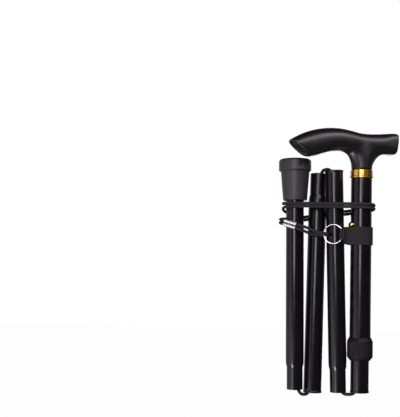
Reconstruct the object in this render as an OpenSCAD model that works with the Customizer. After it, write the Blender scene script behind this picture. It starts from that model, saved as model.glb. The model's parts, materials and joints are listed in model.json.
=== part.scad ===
// Folding walking cane, folded: a moulded derby handle on a telescoping upper section, three
// lower tubes beside it joined end to end by an elastic cord, and a wrist strap wound round all four.
// The cord's routes are measured up from the mouth of the inner tube, like every height here.

/* [Upper section] */
// Outer diameter of the upper tube
outer_d = 22; // [20:0.5:24]
// Wall of the upper tube
outer_wall = 1.2; // [1:0.1:1.4]
// Running clearance between the telescoping tubes
slide_gap = 0.3; // [0.2:0.05:0.4]
// Height of the upper tube's lower end
outer_foot = 43; // [42:1:48]
// How far the handle's seat stands over a lower section's length
seat_rise = 0; // [0:0.5:6]
// Space between the telescoping tube's upper end and the handle's spigot
inner_clear = 16; // [10:1:20]
// Height steps of the cane
height_steps = 7; // [3:1:7]
// Distance between two height holes
hole_pitch = 15; // [12:1:15]

/* [Lower sections] */
// Length of a lower section
section_len = 233; // [228:1:238]
// Wall of the lower tubes
tube_wall = 1; // [0.8:0.1:1.2]
// Length of the swaged male end with its shoulder
male_len = 26.5; // [22:0.5:28]
// Length of the shoulder
shoulder_len = 3; // [2:0.5:4]
// Clearance of a male end in its mouth
fit_gap = 0.1; // [0.05:0.05:0.2]
// How far a mouth's lip stands out
lip_h = 0.4; // [0.2:0.1:0.5]
// Length of a mouth's lip
lip_len = 2.2; // [1.5:0.1:3]
// Gap between neighbours in the folded bundle
side_gap = 0.5; // [0.4:0.1:1.5]

/* [Handle] */
// Reach of the tail from the tube's axis
tail_reach = 84; // [80:0.2:90]
// Reach of the nose from the tube's axis
nose_reach = 39.6; // [36:0.2:44]
// Rise of the crown above the seat
handle_rise = 41.6; // [39:0.2:46]
// How far the tail is turned forward of the folded tubes
handle_turn = 26; // [20:1:30]
// Depth of the handle from front to back
handle_depth = 24.4; // [22:0.2:28]
// How far the neck's foot stands back from the upper tube
neck_inset = 0.1; // [0:0.05:0.3]
// Length of the spigot inside the upper tube
spigot_len = 28; // [20:1:34]

/* [Collar and lock nut] */
// Length of the gilt collar
collar_len = 9; // [6:0.5:12]
// Wall of the gilt collar
collar_wall = 0.6; // [0.5:0.1:1]
// How far the lock nut stands out of the upper tube
nut_stand = 2.4; // [2.2:0.1:3]
// Length of the lock nut
nut_len = 24; // [22:0.5:26]
// Ribs round the lock nut
nut_ribs = 36; // [24:1:40]
// Depth of the grooves between the ribs
rib_depth = 0.4; // [0.2:0.1:0.5]

/* [Snap button] */
// Diameter of the button
button_d = 6; // [5:0.5:7]
// Distance of the button's axis from the telescoping tube's upper end
button_drop = 14.5; // [12:0.5:18]
// How far the button stands out of the upper tube
button_proud = 3.7; // [2.5:0.1:4]
// Side of the tube that the button is on, from the tail forward
button_turn = 31; // [25:1:35]

/* [Rubber tip] */
// Length of the tip
tip_len = 44; // [40:0.5:46]
// How far the flange stands out of the last tube
tip_stand = 7.7; // [7:0.1:8.5]
// Height of the flange
tip_flange_h = 12.5; // [10:0.5:13]
// Wall at the open end
tip_rim_wall = 3.3; // [2.5:0.1:4]
// Thickness of rubber under the tube's end
tip_base = 8.5; // [7:0.5:10]
// Thickness of the steel washer in the tip
washer_t = 1.5; // [1:0.1:2]

/* [Strap] */
// Height of the webbing band
band_h = 19; // [18.5:0.5:22]
// Thickness of the webbing
webbing_t = 1.2; // [1:0.1:1.4]
// Distance of the band's middle below the button
band_drop = 11.5; // [11:0.5:14]
// Height of the tab at its fold
tab_h = 11.5; // [8:0.5:12]
// Side of the tube that the tab is on, from the tail forward
tab_turn = 34; // [32:1:40]
// Diameter of the split ring, to the middle of its wire
ring_d = 19.8; // [18:0.2:21]
// Thickness of the split ring's wire
ring_wire = 1; // [0.8:0.1:1.1]
// Diameter of the wrist cord
cord_d = 3; // [2.4:0.1:3.2]
// Length of the double crimp
crimp_len = 14.6; // [12:0.2:16]
// Wall of the crimp's barrels
crimp_wall = 0.4; // [0.3:0.1:0.6]

/* [Elastic cord] */
// Diameter of the elastic cord
elastic_d = 3.5; // [3:0.1:4.2]
// Diameter of its knots
knot_d = 9; // [7:0.5:10]
// Length of the anchor plugs
anchor_len = 12; // [8:1:16]

/* [Hidden] */
$fn = 64;

// Finishes
PLASTIC = "#1b191c";
PAINT = "#131118";
GILT = "#c79a45";
STEEL = "#c3c4c8";
RUBBER = "#3a373c";
WEBBING = "#17161a";
CORD = "#1d1c20";

// One overrun for every cut, and one clearance for pieces that only meet
over = 1;
meet_gap = 0.15;

// Tube radii
outer_r = outer_d / 2;
outer_bore_r = outer_r - outer_wall;
tube_r = outer_bore_r - slide_gap;
tube_bore_r = tube_r - tube_wall;
male_r = tube_bore_r - fit_gap;
male_bore_r = male_r - tube_wall;
lip_r = tube_r + lip_h;
nut_r = outer_r + nut_stand;
tip_r = tube_r + tip_stand;
neck_d = outer_d - 2 * neck_inset;

// Heights of the upper section, from the length of the lower ones that fold up beside it
seat_z = section_len + seat_rise;
inner_top = seat_z - spigot_len - inner_clear;
button_z = inner_top - button_drop;
band_z = button_z - band_drop;

// The origin is the hand's hold on the handle, over the tube
grip_share = 0.7;
grip_z = seat_z + grip_share * handle_rise;

// Lock nut and the split bushing in it
nut_foot_drop = 10;
nut_foot = outer_foot - nut_foot_drop;
nut_top = nut_foot + nut_len;
nut_chamfer_foot = 4.6;
nut_chamfer_top = 2.6;
nut_mouth_wall = 0.8;
nut_floor = 5.2;
nut_roof = 1.8;
nut_turn_gap = 0.25;
nut_wall = 1.15;
bushing_r = nut_r - nut_wall - nut_turn_gap;
bushing_slits = 4;
bushing_slit_w = 1.4;

// Places of the folded sections, from the nut outward: each foot and head is a tube's end on its axis
nut_mid_z = nut_foot + nut_len / 2;
head_spread_2 = 6.9;
lean_2 = head_spread_2 / section_len;
stagger_head = 33.5;
stagger_foot = 22;
head_spread_4 = 3;
foot_rise = [0, -0.5, -2.6, 1];
neighbour = lip_r + tube_r + side_gap;
foot_2 = [lean_2 * nut_mid_z - nut_r - tube_r - side_gap, 0, foot_rise[1]];
head_2 = foot_2 + [-head_spread_2, 0, section_rise(head_spread_2)];
head_3_plan = [head_2[0] - neighbour * cos(stagger_head), neighbour * sin(stagger_head)];
tip_clear = 0.4;
head_4_x = head_3_plan[0] - sqrt(pow(tip_r + tube_r + tip_clear, 2) - pow(head_3_plan[1], 2));
foot_4 = [head_4_x + head_spread_4, 0, foot_rise[3]];
head_4 = foot_4 + [-head_spread_4, 0, section_rise(head_spread_4)];
foot_3 = [foot_4[0] + neighbour * cos(stagger_foot), neighbour * sin(stagger_foot), foot_rise[2]];
spread_3 = norm([head_3_plan[0] - foot_3[0], head_3_plan[1] - foot_3[1]]);
head_3 = [head_3_plan[0], head_3_plan[1], foot_3[2] + section_rise(spread_3)];

// Height gained by a section whose head stands this far to the side of its foot
function section_rise(spread) = sqrt(section_len * section_len - spread * spread);

// Snap button: distances along its own axis, out from the tube's middle
button_tip = outer_r + button_proud;
button_gap = 0.3;
button_dome = 1.2;
flange_t = 1;
flange_r = 4.2;
flange_face = sqrt(tube_bore_r * tube_bore_r - flange_r * flange_r) - button_gap;
spring_t = 0.8;
spring_w = 6;
spring_gap = 0.25;
spring_back = sqrt(tube_bore_r * tube_bore_r - spring_w * spring_w / 4) - spring_gap;
spring_drop = 6;
spring_rise = 4;
spring_front = flange_face - flange_t - button_gap;

// Height holes that find room over the lock nut
hole_count = min(height_steps, 1 + floor((button_z - nut_top - button_d) / hole_pitch));

// Elastic cord: its straight runs stop this far inside each tube's end
elastic_r = elastic_d / 2;
cord_inset = 14.5;
anchor_drop = 47.5;
anchor_z = button_z - anchor_drop;
anchor_4 = 150;

// Rubber tip, along the last tube from its foot
tip_face = section_len + washer_t + tip_base;
tip_rim = tip_face - tip_len;
tip_rim_r = tube_r + tip_rim_wall;
waist_stand = 5.7;
tip_waist_r = tube_r + waist_stand;
tip_edge = 1.6;
tread_rings = 3;
tread_w = 1.6;
tread_depth = 2;

// Strap: the band is a sleeve round the tube with a pocket to one side, closed by a fold round the ring
ring_r = ring_d / 2;
ring_rise = 1.2;
tab_reach = 12.16;
wire_at = outer_r + tab_reach;
ring_mid = [-wire_at * cos(tab_turn) - ring_r, -wire_at * sin(tab_turn), band_z + ring_rise];
wire_pitch_share = 0.9;
fold_slack = 2;
fold_at = wire_at + fold_slack / 2;
fold_r = 2.1;
tab_full = 18;
tab_step = 0.8;
band_r = outer_r + meet_gap;
barrel_bore_r = cord_d / 2 + meet_gap;
barrel_r = barrel_bore_r + crimp_wall;
barrel_weld = 0.4;
barrel_off = barrel_r - barrel_weld / 2;
rim_h = 0.25;
rim_len = 1.6;
crimp_mid = [-74.6, -10.9, 174.3];
crimp_slope = 16;
crimp_yaw = 25;

// Routes of the cords, chosen by hand
wrist_route = [[-77.05, -9.72, 177], [-78.75, -8.92, 177.6], [-80.45, -8.12, 178.1],
    [-83.2, -6.2, 178.8], [-84.9, -2.6, 179.5], [-84.5, 1.8, 180.2], [-81.9, 6.5, 180.8],
    [-77.4, 10, 181.2], [-64.5, 15.3, 182.9], [-46, 21.8, 186.6], [-4, 14.2, 192], [6, 11.8, 193.4],
    [11.9, 5.9, 194.6], [13.3, -1, 195.5], [10.9, -7.9, 196.1], [5, -12.3, 196.3], [-4, -12.9, 196.3],
    [-24, -12.4, 196.3], [-66.5, -12.2, 196.4], [-75.6, -10.9, 196.5], [-81.5, -5, 196.6],
    [-82.1, 2, 196.8], [-78.6, 8.7, 197.4], [-74, 11.4, 198], [-69.5, 12.3, 198.1],
    [-65.1, 12.8, 196.3], [-63.3, 13, 191.9], [-65.1, 12.8, 187.5], [-69.5, 12.3, 185.7],
    [-74, 11.4, 186.1], [-78.6, 8.7, 187.6], [-82.1, 2, 190], [-81.5, -5, 192], [-75.8, -10.9, 193],
    [-66.5, -12.2, 193.25], [-24, -12.4, 193.15], [-4, -12.9, 193.05], [5, -12.3, 192.85],
    [10.9, -7.9, 192.5], [13.3, -1, 191.9], [11.9, 5.9, 191.1], [6, 11.8, 190], [-4, 14.2, 188.7],
    [-46, 21.8, 183.3], [-64.5, 15.3, 179.6], [-77.4, 9.9, 177.9], [-82.2, 6.3, 177.3],
    [-84.9, 1.6, 176.6], [-85.2, -2.4, 176], [-84, -5.56, 175.3], [-81.43, -7.72, 174.5],
    [-79.68, -8.54, 174], [-77.95, -9.38, 173.4]];
tether_route = [[-72.15, -12.02, 175.4], [-69.95, -13.02, 174.8], [-67.75, -14.12, 174.1],
    [-61.5, -16.9, 172.1], [-54, -18.8, 169.2], [-47, -19.5, 166.4], [-41.5, -19.05, 165],
    [-37.1, -17.25, 164.4], [-35.3, -12.85, 164], [-37.1, -8.45, 163.7], [-41.5, -6.65, 163.5],
    [-47.6, -7.9, 163.6], [-54.5, -11.7, 165], [-61.5, -14.4, 167.9], [-65.2, -14.6, 169.4],
    [-68.65, -13.68, 170.5], [-70.85, -12.68, 171.2], [-73.05, -11.58, 171.9]];
// A link's way from a tube's mouth to the next one's male end: share of the way across, share of its depth
// outward, and how much of the mouth's stand over the male end is left behind
link_shares = [[0, -1, 0], [0.02, -0.6, 0], [0.13, -0.2, 0], [0.27, 0.06, 0], [0.4, 0.152, 0],
    [0.6, 0.155, 0.1], [0.7, 0.128, 0.45], [0.79, 0.02, 0.85], [0.89, -0.22, 1], [0.98, -0.6, 1],
    [1, -1, 1]];
link_depth = cord_inset - meet_gap - side_gap;
cord_sides = 8;
wrist_pitch_share = 3;
tether_pitch_share = 2;
link_pitch_share = 1;

// Points of a link between two tubes that end at these places and face these ways
function link_route(end_a, way_a, end_b, way_b) =
    let (stand = max(0, (end_a - end_b) * way_a))
    [for (share = link_shares)
        (1 - share[0]) * (end_a + share[1] * link_depth * way_a)
        + share[0] * (end_b + share[1] * link_depth * way_b)
        + (share[0] - share[2]) * stand * way_a];

// Any direction that no cord sets out in
skew = [1, 2, 3];

// Handle's stations from tail to nose: top reach and rise, bottom reach and rise, depth
bar_shares = [[-1, 0.615, -0.762, 0.25, 0.8], [-0.903, 0.729, -0.703, 0.258, 0.9],
    [-0.796, 0.834, -0.64, 0.286, 0.96], [-0.654, 0.93, -0.565, 0.339, 0.99],
    [-0.484, 0.99, -0.445, 0.409, 1], [-0.314, 0.999, -0.314, 0.442, 1],
    [-0.157, 0.961, -0.157, 0.431, 0.99], [0, 0.92, 0, 0.408, 0.98], [0.314, 0.928, 0.314, 0.408, 0.98],
    [0.628, 0.957, 0.602, 0.431, 0.98], [0.838, 0.973, 0.759, 0.438, 0.96],
    [0.955, 0.963, 0.885, 0.433, 0.9], [0.995, 0.873, 0.953, 0.53, 0.66]];
bar_steps = 3;
bar_sides = 28;
bar_square_share = 0.8;
// Neck's levels from the seat up: reach to the tail and to the nose, rise, depth
neck_shares = [[1, 1, 0, 1], [1.02, 1.05, 0.1275, 1], [1.12, 1.24, 0.197, 1], [1.28, 1.42, 0.261, 1.01],
    [1.5, 1.74, 0.341, 1.02], [1.79, 2.02, 0.404, 1.02], [2.39, 2.39, 0.461, 0.98],
    [3, 2.6, 0.571, 0.9]];
neck_steps = 2;
neck_sides = 32;

// Curves and lofts
function unit(v) = v / norm(v);
function heading(points, i) = unit(points[min(i + 1, len(points) - 1)] - points[max(i - 1, 0)]);
function between(p, q, d, e, t) =
    (2 * pow(t, 3) - 3 * pow(t, 2) + 1) * p + (pow(t, 3) - 2 * pow(t, 2) + t) * d
    + (3 * pow(t, 2) - 2 * pow(t, 3)) * q + (pow(t, 3) - pow(t, 2)) * e;
function smooth_route(points, pitch) = [
    for (i = [0 : len(points) - 2])
        let (p = points[i], q = points[i + 1], run = norm(q - p), steps = max(1, round(run / pitch)))
        for (s = [0 : steps - 1])
            between(p, q, run * heading(points, i), run * heading(points, i + 1), s / steps),
    points[len(points) - 1]];
function smooth_table(rows, steps) = [
    for (i = [0 : len(rows) - 2])
        let (p = rows[i], q = rows[i + 1])
        let (d = (q - rows[max(i - 1, 0)]) / 2, e = (rows[min(i + 2, len(rows) - 1)] - p) / 2)
        for (s = [0 : steps - 1])
            between(p, q, d, e, s / steps),
    rows[len(rows) - 1]];
function soft(c, power) = sign(c) * pow(abs(c), power);

// Triangles over rings of equal count, closed at both ends
module loft(rings) {
    n = len(rings);
    m = len(rings[0]);
    sides = [for (i = [0 : n - 2], j = [0 : m - 1])
        each [[i * m + j, (i + 1) * m + j, i * m + (j + 1) % m],
              [i * m + (j + 1) % m, (i + 1) * m + j, (i + 1) * m + (j + 1) % m]]];
    last = (n - 1) * m;
    ends = [for (j = [1 : m - 2]) each [[0, j, j + 1], [last, last + j + 1, last + j]]];
    polyhedron([for (r = rings) each r], concat(sides, ends));
}

// Round cord along a route, its rings carried round the bends without twist
module cord(route, d, pitch_share) {
    path = smooth_route(route, pitch_share * d);
    first = unit(cross(heading(path, 0), skew));
    frames = [for (i = 0, n = first; i < len(path);
        i = i + 1, n = i < len(path) ? unit(n - (n * heading(path, i)) * heading(path, i)) : n) n];
    loft([for (i = [0 : len(path) - 1])
        let (side = cross(heading(path, i), frames[i]))
        [for (k = [0 : cord_sides - 1])
            let (a = -360 * k / cord_sides)
            path[i] + d / 2 * (cos(a) * frames[i] + sin(a) * side)]]);
}

// Moves every height so that the hand's hold is the origin
module held() {
    translate([0, 0, -grip_z])
        children();
}

// Stands children on a tube's foot, with their own upright axis towards its head
module along(foot, head) {
    way = head - foot;
    translate(foot)
        rotate([0, acos(way[2] / norm(way)), atan2(way[1], way[0])])
            children();
}

// Turns children so that their own x axis is the snap button's
module button_side() {
    rotate([0, 0, 180 + button_turn])
        children();
}

// Lower tube, male end down; the last one has no mouth
module lower_tube(mouth) {
    lip = mouth ? lip_r : tube_r;
    rotate_extrude()
        polygon([[male_bore_r, 0], [male_r, 0], [male_r, male_len - shoulder_len], [tube_r, male_len],
            [tube_r, section_len - lip_len], [lip, section_len - lip_len + lip_h],
            [lip, section_len - lip_h / 2], [lip - lip_h / 2, section_len],
            [tube_bore_r, section_len], [tube_bore_r, male_len],
            [male_bore_r, male_len - shoulder_len]]);
}

// Straight run of the elastic cord inside a tube, between two distances from the tube's foot
module elastic_run(from, to) {
    translate([0, 0, from])
        cylinder(r = elastic_r, h = to - from);
}

// Plug that stops the elastic cord's knot
module anchor_plug() {
    rotate_extrude()
        polygon([[elastic_r + meet_gap, 0], [tube_bore_r - meet_gap - lip_h, 0],
            [tube_bore_r - meet_gap, lip_h], [tube_bore_r - meet_gap, anchor_len - lip_h],
            [tube_bore_r - meet_gap - lip_h, anchor_len], [elastic_r + meet_gap, anchor_len]]);
}

module bar_form() {
    rows = smooth_table(bar_shares, bar_steps);
    loft([for (row = rows)
        let (top = [bar_reach(row[0]), seat_z + row[1] * handle_rise])
        let (foot = [bar_reach(row[2]), seat_z + row[3] * handle_rise])
        let (mid = (top + foot) / 2, half = (top - foot) / 2)
        [for (k = [0 : bar_sides - 1])
            let (a = -360 * k / bar_sides)
            let (up = soft(cos(a), bar_square_share), out = soft(sin(a), bar_square_share))
            [mid[0] + up * half[0], out * row[4] * handle_depth / 2, mid[1] + up * half[1]]]]);
}

function bar_reach(share) = share < 0 ? share * tail_reach : share * nose_reach;

module neck_form() {
    rows = smooth_table(neck_shares, neck_steps);
    loft([for (row = rows)
        [for (k = [0 : neck_sides - 1])
            let (a = 360 * k / neck_sides, c = cos(a))
            [c * (c < 0 ? row[0] : row[1]) * neck_d / 2, sin(a) * row[3] * neck_d / 2,
                seat_z + row[2] * handle_rise]]]);
}

module handle() {
    color(PLASTIC) held() {
        rotate([0, 0, handle_turn]) {
            bar_form();
            neck_form();
        }
        translate([0, 0, seat_z - spigot_len])
            cylinder(r = outer_bore_r - fit_gap, h = spigot_len + over);
    }
}

module collar_ring() {
    foot = seat_z - collar_len;
    bore = outer_r + fit_gap;
    color(GILT) held()
        rotate_extrude()
            polygon([[bore, foot], [bore + collar_wall, foot], [bore + 2 * collar_wall, foot + collar_wall],
                [bore + 2 * collar_wall, foot + 3 * collar_wall],
                [bore + collar_wall, foot + 4 * collar_wall],
                [bore + collar_wall, seat_z - collar_wall], [bore, seat_z]]);
}

module outer_tube() {
    color(PAINT) held()
        difference() {
            translate([0, 0, outer_foot])
                cylinder(r = outer_r, h = seat_z - outer_foot);
            translate([0, 0, outer_foot - over])
                cylinder(r = outer_bore_r, h = seat_z - outer_foot + 2 * over);
            for (i = [0 : hole_count - 1])
                translate([0, 0, button_z - i * hole_pitch])
                    button_side()
                        rotate([0, 90, 0])
                            cylinder(r = button_d / 2 + button_gap, h = outer_d);
        }
}

module lock_bushing() {
    foot = nut_foot + nut_floor + meet_gap;
    top = nut_top - nut_roof - meet_gap;
    color(PLASTIC) held()
        difference() {
            rotate_extrude()
                polygon([[tube_r + meet_gap, foot], [bushing_r, foot], [bushing_r, top],
                    [outer_r + fit_gap, top], [outer_r + fit_gap, outer_foot - fit_gap],
                    [tube_r + meet_gap, outer_foot - fit_gap]]);
            for (i = [0 : bushing_slits - 1])
                rotate([0, 0, 360 * i / bushing_slits])
                    translate([tube_r, -bushing_slit_w / 2, foot - over])
                        cube([bushing_r, bushing_slit_w, outer_foot - foot]);
        }
}

module lock_nut() {
    color(PLASTIC) held()
        difference() {
            rotate_extrude()
                polygon([[tube_r + button_gap, nut_foot], [tube_r + button_gap + nut_mouth_wall, nut_foot],
                    [nut_r, nut_foot + nut_chamfer_foot], [nut_r, nut_top - nut_chamfer_top],
                    [outer_r + nut_mouth_wall, nut_top], [outer_r + button_gap, nut_top],
                    [outer_r + button_gap, nut_top - nut_roof],
                    [bushing_r + nut_turn_gap, nut_top - nut_roof],
                    [bushing_r + nut_turn_gap, nut_foot + nut_floor],
                    [tube_r + button_gap, nut_foot + nut_floor]]);
            for (i = [0 : nut_ribs - 1])
                rotate([0, 0, 360 * i / nut_ribs])
                    translate([nut_r + rib_depth / 2, 0, nut_foot - over])
                        cylinder(r = 3 * rib_depth / 2, h = nut_len + 2 * over);
        }
}

// Outline of the band: round the tube, and drawn out to a fold on the ring's side
module band_outline(grow) {
    hull() {
        circle(r = band_r + grow);
        translate([fold_at, 0])
            circle(r = fold_r + grow);
    }
}

module strap_band() {
    reach = fold_at + fold_r + webbing_t + over;
    back = band_r + webbing_t + over;
    color(WEBBING) held()
        translate([0, 0, band_z])
            rotate([0, 0, 180 + tab_turn])
                intersection() {
                    translate([0, 0, -band_h / 2])
                        linear_extrude(band_h)
                            difference() {
                                band_outline(webbing_t);
                                band_outline(0);
                            }
                    rotate([90, 0, 0])
                        linear_extrude(2 * back, center = true)
                            polygon([[-back, -band_h / 2 - over], [band_r, -band_h / 2 - over],
                                [band_r, -band_h / 2], [wire_at - 2 * tab_step, -tab_full / 2],
                                [wire_at, ring_rise - tab_h / 2], [reach, ring_rise - tab_h / 2],
                                [reach, ring_rise + tab_h / 2], [wire_at, ring_rise + tab_h / 2],
                                [wire_at - 2 * tab_step, tab_full / 2], [band_r, band_h / 2],
                                [band_r, band_h / 2 + over], [-back, band_h / 2 + over]]);
                }
}

module split_ring() {
    color(STEEL) held()
        translate(ring_mid)
            rotate([90, 0, 0])
                rotate_extrude()
                    for (side = [-1, 1])
                        translate([ring_r, side * wire_pitch_share * ring_wire / 2])
                            circle(d = ring_wire);
}

module wrist_tether() {
    color(CORD) held()
        cord(tether_route, cord_d, tether_pitch_share);
}

module cord_crimp() {
    color(STEEL) held()
        translate(crimp_mid)
            rotate([0, crimp_slope - 90, -crimp_yaw])
                difference() {
                    for (side = [-1, 1])
                        translate([side * barrel_off, 0, -crimp_len / 2])
                            barrel();
                    for (side = [-1, 1])
                        translate([side * barrel_off, 0, -crimp_len / 2 - over])
                            cylinder(r = barrel_bore_r, h = crimp_len + 2 * over);
                }
}

// One of the crimp's barrels, beaded at both ends
module barrel() {
    rotate_extrude()
        polygon([[0, 0], [barrel_r, 0], [barrel_r + rim_h, rim_h], [barrel_r + rim_h, rim_len - rim_h],
            [barrel_r, rim_len], [barrel_r, crimp_len - rim_len],
            [barrel_r + rim_h, crimp_len - rim_len + rim_h], [barrel_r + rim_h, crimp_len - rim_h],
            [barrel_r, crimp_len], [0, crimp_len]]);
}

module wrist_cord() {
    color(CORD) held()
        cord(wrist_route, cord_d, wrist_pitch_share);
}

module inner_tube() {
    color(PAINT) held()
        difference() {
            rotate_extrude()
                polygon([[tube_bore_r, 0], [lip_r - lip_h / 2, 0], [lip_r, lip_h / 2],
                    [lip_r, lip_len - lip_h],
                    [tube_r, lip_len], [tube_r, inner_top], [tube_bore_r, inner_top]]);
            translate([0, 0, button_z])
                button_side()
                    rotate([0, 90, 0])
                        cylinder(r = button_d / 2 + button_gap, h = outer_d);
        }
}

module height_button() {
    color(GILT) held()
        translate([0, 0, button_z])
            button_side()
                rotate([0, 90, 0])
                    rotate_extrude()
                        polygon([[0, flange_face - flange_t], [flange_r, flange_face - flange_t],
                            [flange_r, flange_face], [button_d / 2, flange_face],
                            [button_d / 2, button_tip - button_dome],
                            [button_d / 2 - button_dome / 2, button_tip - button_dome / 3],
                            [button_d / 2 - button_dome, button_tip], [0, button_tip]]);
}

module button_spring() {
    mid = (spring_front - spring_back) / 2;
    bend_r = (spring_front + spring_back) / 2;
    color(STEEL) held()
        translate([0, 0, button_z])
            button_side()
                translate([mid, spring_w / 2, 0])
                    rotate([90, 0, 0])
                        linear_extrude(spring_w)
                            difference() {
                                union() {
                                    translate([0, spring_rise])
                                        circle(r = bend_r);
                                    translate([-bend_r, -spring_drop])
                                        square([2 * bend_r, spring_drop + spring_rise]);
                                }
                                translate([0, spring_rise])
                                    circle(r = bend_r - spring_t);
                                translate([spring_t - bend_r, -spring_drop - over])
                                    square([2 * (bend_r - spring_t), spring_drop + spring_rise + over]);
                            }
}

module cord_anchor_upper() {
    color(PLASTIC) held()
        translate([0, 0, anchor_z])
            anchor_plug();
}

module shock_cord_1() {
    color(CORD) held() {
        elastic_run(cord_inset, anchor_z + anchor_len + knot_d / 2);
        translate([0, 0, anchor_z + anchor_len + knot_d / 2 + fit_gap])
            sphere(d = knot_d);
    }
}

module cord_link_1() {
    color(CORD) held()
        cord(link_route([0, 0, 0], [0, 0, -1], foot_2, unit(foot_2 - head_2)), elastic_d, link_pitch_share);
}

module tube_2() {
    color(PAINT) held()
        along(foot_2, head_2)
            lower_tube(true);
}

module shock_cord_2() {
    color(CORD) held()
        along(foot_2, head_2)
            elastic_run(cord_inset, section_len - cord_inset);
}

module cord_link_2() {
    color(CORD) held()
        cord(link_route(head_2, unit(head_2 - foot_2), head_3, unit(head_3 - foot_3)), elastic_d,
            link_pitch_share);
}

module tube_3() {
    color(PAINT) held()
        along(head_3, foot_3)
            lower_tube(true);
}

module shock_cord_3() {
    color(CORD) held()
        along(head_3, foot_3)
            elastic_run(cord_inset, section_len - cord_inset);
}

module cord_link_3() {
    color(CORD) held()
        cord(link_route(foot_3, unit(foot_3 - head_3), foot_4, unit(foot_4 - head_4)), elastic_d,
            link_pitch_share);
}

module tube_4() {
    color(PAINT) held()
        along(foot_4, head_4)
            lower_tube(false);
}

module shock_cord_4() {
    color(CORD) held()
        along(foot_4, head_4) {
            elastic_run(cord_inset, anchor_4 + anchor_len + knot_d / 2);
            translate([0, 0, anchor_4 + anchor_len + knot_d / 2 + fit_gap])
                sphere(d = knot_d);
        }
}

module cord_anchor_lower() {
    color(PLASTIC) held()
        along(foot_4, head_4)
            translate([0, 0, anchor_4])
                anchor_plug();
}

module rubber_tip() {
    bore = tube_r + meet_gap / 2;
    flange = tip_face - tip_flange_h;
    color(RUBBER) held()
        along(foot_4, head_4)
            difference() {
                rotate_extrude()
                    polygon([[bore, tip_rim], [tip_rim_r - tip_edge / 2, tip_rim],
                        [tip_rim_r, tip_rim + tip_edge / 2], [tip_waist_r, flange - tip_edge / 2],
                        [tip_r - tip_edge / 2, flange], [tip_r, flange + tip_edge / 2],
                        [tip_r, tip_face - tip_edge], [tip_r - tip_edge, tip_face], [0, tip_face],
                        [0, section_len], [bore, section_len]]);
                translate([0, 0, section_len - over])
                    cylinder(r = bore, h = washer_t + over);
                for (i = [1 : tread_rings])
                    rotate_extrude()
                        translate([i * tip_r / (tread_rings + 1) - tread_w / 2, tip_face - tread_depth])
                            square([tread_w, tread_depth + over]);
            }
}

module tip_washer() {
    color(STEEL) held()
        along(foot_4, head_4)
            translate([0, 0, section_len])
                cylinder(r = tube_r, h = washer_t);
}

handle();
collar_ring();
outer_tube();
lock_bushing();
lock_nut();
strap_band();
split_ring();
wrist_tether();
cord_crimp();
wrist_cord();
inner_tube();
height_button();
button_spring();
cord_anchor_upper();
shock_cord_1();
cord_link_1();
tube_2();
shock_cord_2();
cord_link_2();
tube_3();
shock_cord_3();
cord_link_3();
tube_4();
shock_cord_4();
cord_anchor_lower();
rubber_tip();
tip_washer();
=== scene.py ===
import json
import math

import bpy
import numpy as np
from mathutils import Matrix, Vector


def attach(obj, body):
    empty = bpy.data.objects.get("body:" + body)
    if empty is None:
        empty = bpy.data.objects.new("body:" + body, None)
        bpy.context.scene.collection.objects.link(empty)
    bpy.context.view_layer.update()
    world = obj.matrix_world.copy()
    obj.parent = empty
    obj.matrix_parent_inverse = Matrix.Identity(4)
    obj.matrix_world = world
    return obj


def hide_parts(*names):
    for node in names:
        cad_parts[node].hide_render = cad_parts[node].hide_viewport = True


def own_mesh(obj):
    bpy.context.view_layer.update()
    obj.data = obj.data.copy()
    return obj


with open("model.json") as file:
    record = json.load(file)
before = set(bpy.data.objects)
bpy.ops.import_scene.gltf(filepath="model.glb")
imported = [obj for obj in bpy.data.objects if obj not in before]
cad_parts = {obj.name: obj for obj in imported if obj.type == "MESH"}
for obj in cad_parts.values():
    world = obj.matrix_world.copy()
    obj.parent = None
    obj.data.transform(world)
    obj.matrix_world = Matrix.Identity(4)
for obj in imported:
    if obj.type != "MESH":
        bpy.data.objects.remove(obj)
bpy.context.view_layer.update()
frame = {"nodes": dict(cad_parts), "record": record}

NODES = frame["nodes"]
MM = 0.001
GRIP_Z = 262.12

# Places of the folded tubes' ends on their axes, in millimetres, heights from the inner tube's mouth
MOUTH_1 = (0, 0, 0)
FOOT_2 = (-22.0674, 0, -0.5)
HEAD_2 = (-28.9674, 0, 232.398)
FOOT_3 = (-48.8852, 7.45467, -2.6)
HEAD_3 = (-45.5617, 10.9835, 230.35)
FOOT_4 = (-67.3361, 0, 1)
HEAD_4 = (-70.3361, 0, 233.981)
SECTION_LEN = 233.0

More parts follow.
